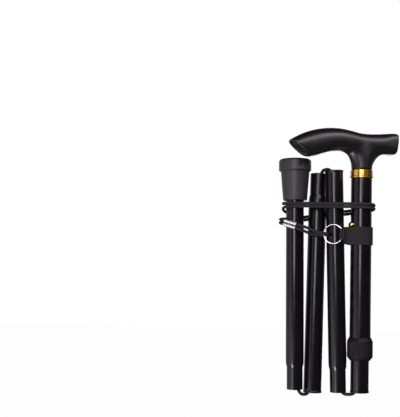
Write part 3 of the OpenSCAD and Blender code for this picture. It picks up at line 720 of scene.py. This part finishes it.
# Handle: a bar lofted from tail to nose and a flared neck, joined into one moulded form. The bar's rows
# are the top line's reach and rise, the bottom line's reach and rise, and the depth; the neck's are its
# reach to the tail and to the nose, its rise, its depth and the power that points it to front and back.
BAR = [
    (-1, 0.615, -0.762, 0.25, 0.8), (-0.903, 0.729, -0.703, 0.258, 0.9),
    (-0.796, 0.834, -0.64, 0.286, 0.96), (-0.654, 0.93, -0.565, 0.339, 0.99),
    (-0.484, 0.99, -0.445, 0.409, 1), (-0.314, 0.999, -0.314, 0.442, 0.97),
    (-0.157, 0.961, -0.157, 0.431, 0.92), (0, 0.92, 0, 0.408, 0.87),
    (0.314, 0.928, 0.314, 0.408, 0.88), (0.628, 0.957, 0.602, 0.431, 0.92),
    (0.838, 0.973, 0.759, 0.438, 0.94), (0.955, 0.974, 0.875, 0.434, 0.95),
    (0.985, 0.970, 0.915, 0.434, 0.94), (1.0, 0.950, 0.938, 0.440, 0.9)]
NECK = [(1, 1, 0, 1, 1), (1.02, 1.05, 0.1275, 1.01, 1), (1.12, 1.24, 0.197, 1.025, 1.1),
        (1.28, 1.42, 0.261, 1.03, 1.3), (1.5, 1.74, 0.341, 1.028, 1.6), (1.79, 2.02, 0.404, 1.022, 1.9),
        (2.39, 2.39, 0.461, 1.015, 2.2), (3, 2.6, 0.571, 1, 2.6), (2.8, 2.4, 0.66, 0.985, 2.6),
        (2.4, 2.1, 0.74, 0.96, 2.6), (2, 1.8, 0.8, 0.88, 2.6)]
HANDLE_STEPS, HANDLE_SIDES, HANDLE_VOXEL = 8, 72, 0.0007
TAIL_POWER, NOSE_POWER, SQUARE_FROM, SQUARE_OVER = 0.8, 0.5, 0.55, 0.35
DISH_DEPTH, DISH_RIM, DISH_DRAFT, DISH_MID, DISH_SAG = 1.6, 0.8, 0.94, 0.3, 1.1
RELAX_SHARE, FORM_ROUNDS, NECK_ROUNDS = 0.5, 7, 45
SPIGOT_CORE, SPIGOT_R, SPIGOT_FOOT, SPIGOT_TOP = 0.2, 9.7, 205, 233.1
SPIGOT_EASE, SPIGOT_SIDES = 0.5, 64
# Limits of the neck's relaxation, below, above and around: a place, and the width over which it fades
FADE_BELOW, FADE_ABOVE, FADE_AROUND = (6, 4), (27, 6), (34, 8)


def bar_points(steps, sides):
    """Rings between a top line and a bottom line: x and z run between them as a soft cosine, and y is a
    soft sine. The sections grow squarer towards the nose."""
    rows = table(BAR, steps)
    squarer = smooth((rows[:, :1] - SQUARE_FROM) / SQUARE_OVER)
    power = TAIL_POWER - (TAIL_POWER - NOSE_POWER) * squarer
    reach = np.where(rows[:, [0, 2]] < 0, TAIL_REACH, NOSE_REACH) * rows[:, [0, 2]]
    rise = SEAT_Z + rows[:, [1, 3]] * HANDLE_RISE + (CROWN, 0)
    a = angles(sides)
    up, out = soft_power(np.cos(a), power), soft_power(np.sin(a), power)
    x = reach.mean(1)[:, None] + up * (reach[:, :1] - reach[:, 1:]) / 2
    z = rise.mean(1)[:, None] + up * (rise[:, :1] - rise[:, 1:]) / 2
    y = out * rows[:, 4:] * HANDLE_DEPTH / 2
    return np.stack([x, y, z], -1)


def neck_points(steps, sides):
    """Level rings: a circle drawn out by one factor to the tail, one to the nose and one front to back, and
    pointed to front and back by a power of its sine."""
    rows = table(NECK, steps)
    a = angles(sides)
    c = np.cos(a)
    x = c * np.where(c < 0, rows[:, :1], rows[:, 1:2]) * NECK_D / 2
    y = soft_power(np.sin(a), rows[:, 4:]) * rows[:, 3:4] * NECK_D / 2
    z = np.broadcast_to(SEAT_Z + rows[:, 2:3] * HANDLE_RISE, x.shape)
    return np.stack([x, y, z], -1)


def dished(rings, depth, rim):
    """Sinks the first ring's end face: a rim, a wall inward along the bar and a floor."""
    end = rings[0]
    mid = end.mean(0)
    inward = unit(rings[3].mean(0) - mid)
    sunk = mid + (end - mid) * rim * DISH_DRAFT + depth * inward
    edge = mid + (end - mid) * rim
    inner = mid + (end - mid) * DISH_MID + depth * DISH_SAG * inward
    return np.concatenate([[inner, sunk, edge], rings])


def relax(mesh, rounds, share):
    """Moves each point a share of the way to the mean of its neighbours, round after round."""
    co = points_of(mesh)
    ends = np.empty(2 * len(mesh.edges), np.int32)
    mesh.edges.foreach_get("vertices", ends)
    a, b = ends.reshape(-1, 2).T
    count = np.bincount(np.concatenate([a, b]), minlength=len(co))[:, None]
    pull = share(co)[:, None]
    for _ in range(rounds):
        sums = [np.bincount(a, co[b, k], len(co)) + np.bincount(b, co[a, k], len(co)) for k in range(3)]
        co = co + pull * (np.stack(sums, -1) / count - co)
    move_points(mesh, co)


def even_share(co):
    """The same share for every point."""
    return np.full(len(co), RELAX_SHARE)


def neck_share(co):
    """The share near the line where the neck runs into the bar, eased to none elsewhere: by the height
    over the seat and by the distance from the tube's axis, in millimetres."""
    height = co[:, 2] / MM + GRIP_Z - SEAT_Z
    away = np.hypot(co[:, 0], co[:, 1]) / MM
    over = smooth((height - FADE_BELOW[0]) / FADE_BELOW[1])
    under = smooth((FADE_ABOVE[0] - height) / FADE_ABOVE[1])
    near = smooth((FADE_AROUND[0] - away) / FADE_AROUND[1])
    return RELAX_SHARE * over * under * near


def swung(points):
    """Points turned about the upright axis by the handle's turn on its tube."""
    c, s = math.cos(HANDLE_TURN), math.sin(HANDLE_TURN)
    return points @ np.array([[c, s, 0], [-s, c, 0], [0, 0, 1]])


def melded(name):
    """Bar and neck melded into one skin by voxels, relaxed all over and then more where they meet."""
    bar = dished(bar_points(HANDLE_STEPS, HANDLE_SIDES), DISH_DEPTH, DISH_RIM)
    neck = neck_points(HANDLE_STEPS, HANDLE_SIDES)
    blank = joined("handle_blank", surface("handle_bar", row(swung(bar))),
                   surface("handle_neck", row(swung(neck))))
    meld = blank.modifiers.new("meld", "REMESH")
    meld.mode = "VOXEL"
    meld.voxel_size = HANDLE_VOXEL
    form = bpy.data.meshes.new_from_object(blank.evaluated_get(bpy.context.evaluated_depsgraph_get()))
    bpy.data.objects.remove(blank)
    relax(form, FORM_ROUNDS, even_share)
    relax(form, NECK_ROUNDS, neck_share)
    shade_smooth(form)
    return add_object(name, form)


place_piece(melded("derby_handle"), "handle_section", "handle_plastic", "handle")
spigot_wall = [(SPIGOT_CORE, SPIGOT_FOOT), (SPIGOT_R, SPIGOT_FOOT),
               (SPIGOT_R, SPIGOT_TOP), (SPIGOT_CORE, SPIGOT_TOP)]
spigot = turned("handle_spigot", eased(spigot_wall, SPIGOT_EASE) * MM, *row(UPRIGHT), SPIGOT_SIDES)
place_piece(spigot, "handle_section", "handle_plastic")

# Webbing band: a strip round the tube, pinched beyond the button and folded round the ring
BAND_H, WEBBING_T, BAND_Z, TAB_TURN = 19.0, 1.2, 163.0, math.radians(34)
TAB_H, RING_RISE, WIRE_AT = 11.5, 1.2, 23.16
BAND_R, BAND_ROWS, BAND_SIDES = 11.78, 420, 40
THICK_SQUARE, HIGH_SQUARE = 0.5, 0.12
TAB_BEFORE, TAB_OVER = 2.6, 2.4
PINCH_AT, PINCH_OVER, PINCH_IN = 11.0, 10.5, 0.5
DENSE_STEP, SEAM_REACH = 0.1, 60
HALF_OUTLINE = [(13.6, 5.6), (16.2, 3.2), (18.2, 1.5), (20, 1.05), (21.9, 1.7), (23.4, 2.6), (24.9, 2.55),
                (26.25, 1.6), (26.86, 0)]


def band_line(count):
    """Closed outline: a circle round the tube from the back forward, then the listed points of the tab."""
    a = np.radians(np.arange(180, 44, -9))
    round_tube = BAND_R * np.stack([np.cos(a), np.sin(a)], -1)
    half = np.vstack([round_tube, HALF_OUTLINE])
    loop = np.vstack([half, half[-2:0:-1] * (1, -1)])
    ends = np.vstack([loop[-3:], loop, loop[:4]])
    dense = route(np.column_stack([ends, np.zeros(len(ends))]), DENSE_STEP)[:, :2]
    start = np.argmin(np.linalg.norm(dense[:SEAM_REACH] - loop[0], axis=1))
    stop = len(dense) - SEAM_REACH + np.argmin(np.linalg.norm(dense[-SEAM_REACH:] - loop[0], axis=1))
    dense = dense[start:stop]
    s = lengths(dense)
    even = np.linspace(0, s[-1], count, endpoint=False)
    return np.stack([np.interp(even, s, dense[:, k]) for k in (0, 1)], -1), s[-1]


def band_points(count, sides):
    """Rounded flat section carried round the outline; its height eases from the band's to the tab's."""
    line, total = band_line(count)
    way = unit(np.roll(line, -1, 0) - np.roll(line, 1, 0))
    out = np.stack([-way[:, 1], way[:, 0]], -1)
    if np.sum(out * line) < 0:
        out = -out
    u = line[:, 0]
    ease = smooth((u - WIRE_AT + TAB_BEFORE) / TAB_OVER)
    half = BAND_H / 2 - np.clip((u - PINCH_AT) / PINCH_OVER, 0, 1) * PINCH_IN
    half = half + (TAB_H / 2 - half) * ease
    a = angles(sides, 0.5)
    thick = soft_power(np.cos(a), THICK_SQUARE) * WEBBING_T / 2
    high = soft_power(np.sin(a), HIGH_SQUARE)
    c, s = -math.cos(TAB_TURN), -math.sin(TAB_TURN)
    flat = line[:, None] + out[:, None] * thick[None, :, None]
    x = flat[..., 0] * c - flat[..., 1] * s
    y = flat[..., 0] * s + flat[..., 1] * c
    z = BAND_Z + RING_RISE * ease[:, None] + half[:, None] * high[None]
    return np.stack([x, y, z], -1), total


band_grid, band_total = band_points(BAND_ROWS, BAND_SIDES)
band = surface("webbing_band", row(band_grid), ring=True,
               along=np.linspace(0, band_total * MM, BAND_ROWS + 1),
               across=np.linspace(0, 2 * BAND_H * MM, BAND_SIDES + 1))
place_piece(band, "handle_section", "webbing", "strap_band")

# Light: white surroundings for the eye, dim ones for shading, and for gloss a dim wall behind the object
BLACK, WHITE = (0, 0, 0, 1), (1, 1, 1, 1)
WALL_LIGHT, ROOM_LIGHT, SHADE_LIGHT = 0.44, 0.025, 0.20
WALL_TURN, WALL_SPREAD, WALL_HEIGHT = 0.35, (-0.1, 0.7), (0.6, 0.2)


def light_surroundings():
    """World whose level is 1 for the eye, and otherwise that of the wall and the room, or of the shade."""
    world = bpy.data.worlds.new("studio")
    bpy.context.scene.world = world
    world.use_nodes = True
    sky = world.node_tree
    backdrop = sky.nodes["Background"]
    backdrop.inputs["Strength"].default_value = 1.0
    ray = sky.nodes.new("ShaderNodeLightPath")
    seen = Socket(sky, ray.outputs["Is Camera Ray"])
    glossy = Socket(sky, ray.outputs["Is Glossy Ray"])
    through = Socket(sky, ray.outputs["Is Transmission Ray"])
    direct = seen.math("MAXIMUM", through)
    right, behind, up = Socket(sky, sky.nodes.new("ShaderNodeTexCoord").outputs["Generated"]).split()
    dim_wall = (behind - right * WALL_TURN).band(*WALL_SPREAD) * up.math("ABSOLUTE").band(*WALL_HEIGHT)
    mirrored = glossy * (dim_wall * WALL_LIGHT + ROOM_LIGHT)
    shaded = (1.0 - glossy) * SHADE_LIGHT
    level = direct.math("MAXIMUM", mirrored + shaded)
    sky.links.new(level.mix(BLACK, WHITE).socket, backdrop.inputs["Color"])


def softbox(name, place, target, width, height, radiance, colour):
    """Rectangular lamp; its power follows from the brightness of its face."""
    light = bpy.data.lights.new(name, "AREA")
    light.shape = "RECTANGLE"
    light.size, light.size_y = width, height
    light.energy = radiance * math.pi * width * height
    light.color = colour
    lamp = add_object(name, light)
    lamp.visible_camera = False
    lamp.location = place
    lamp.rotation_euler = (Vector(target) - Vector(place)).to_track_quat("-Z", "Y").to_euler()


# Lamps: place, point that the lamp faces, width, height, brightness of its face and colour
LAMPS = {
    "strip": ((-0.28, -1.48, 0.0), (-0.035, 0, 0.0), 0.50, 0.30, 6.4, (1.0, 0.93, 0.99)),
    "hood": ((-0.02, -1.48, 0.92), (-0.02, 0, 0.92), 1.00, 1.54, 3.0, (1.0, 0.91, 0.99)),
    "key": ((0.80, -0.80, 0.67), (-0.02, 0, 0.0), 1.30, 0.50, 6.4, (1.0, 0.89, 0.98)),
    "panel": ((-1.05, -0.58, -0.10), (-0.035, 0, -0.12), 0.90, 1.3, 0.68, (0.96, 0.84, 1.0)),
    "back": ((0.12, 1.5, 0.05), (-0.03, 0, 0.0), 0.45, 1.2, 3.5, (1.0, 0.94, 1.0)),
    "skirt": ((-0.85, -1.22, -0.54), (-0.04, 0, -0.24), 0.50, 0.28, 2.5, (0.86, 0.80, 1.0)),
    "low": ((-0.42, -0.51, -0.72), (-0.04, 0, -0.24), 0.28, 0.54, 12.5, (0.93, 0.88, 1.0))}
light_surroundings()
for name, settings in LAMPS.items():
    softbox(name, *settings)

# Floor, below the opened cane's tip
FLOOR_SIDE, FLOOR_Z, FLOOR_GREY, FLOOR_ROUGH = 24, -1.03, 0.82, 0.9
FLOOR_WHITE, GLOSS_DIM, GLOSS_LEFT, LEFT_REACH = 0.98, 0.94, 0.44, (-0.3, -1.5)


def pale_floor():
    """Paper that is white to the eye, apart from a trace of shadow, and dim in gloss, less so to the left."""
    pale = bpy.data.materials.new("pale_floor")
    pale.use_nodes = True
    tree = pale.node_tree
    paper = tree.nodes["Principled BSDF"]
    paper.inputs["Base Color"].default_value = (FLOOR_GREY, FLOOR_GREY, FLOOR_GREY, 1)
    paper.inputs["Roughness"].default_value = FLOOR_ROUGH
    ray = tree.nodes.new("ShaderNodeLightPath")
    to_eye = Socket(tree, ray.outputs["Is Camera Ray"])
    in_gloss = Socket(tree, ray.outputs["Is Glossy Ray"])
    white = tree.nodes.new("ShaderNodeEmission")
    blend = tree.nodes.new("ShaderNodeMixShader")
    tree.links.new((to_eye.math("MAXIMUM", in_gloss) * FLOOR_WHITE).socket, blend.inputs[0])
    place = Socket(tree, tree.nodes.new("ShaderNodeTexCoord").outputs["Object"])
    left = place.split()[0].band(*LEFT_REACH)
    dimmed = in_gloss * (GLOSS_DIM - left * GLOSS_LEFT)
    tree.links.new(dimmed.mix(WHITE, BLACK).socket, white.inputs["Color"])
    tree.links.new(paper.outputs[0], blend.inputs[1])
    tree.links.new(white.outputs[0], blend.inputs[2])
    tree.links.new(blend.outputs[0], tree.nodes["Material Output"].inputs[0])
    return pale


bpy.ops.mesh.primitive_plane_add(size=FLOOR_SIDE, location=(0, 0, FLOOR_Z))
floor = bpy.context.object
floor.name = "floor"
dress(floor, pale_floor())

bpy.context.scene.view_settings.view_transform = "Standard"
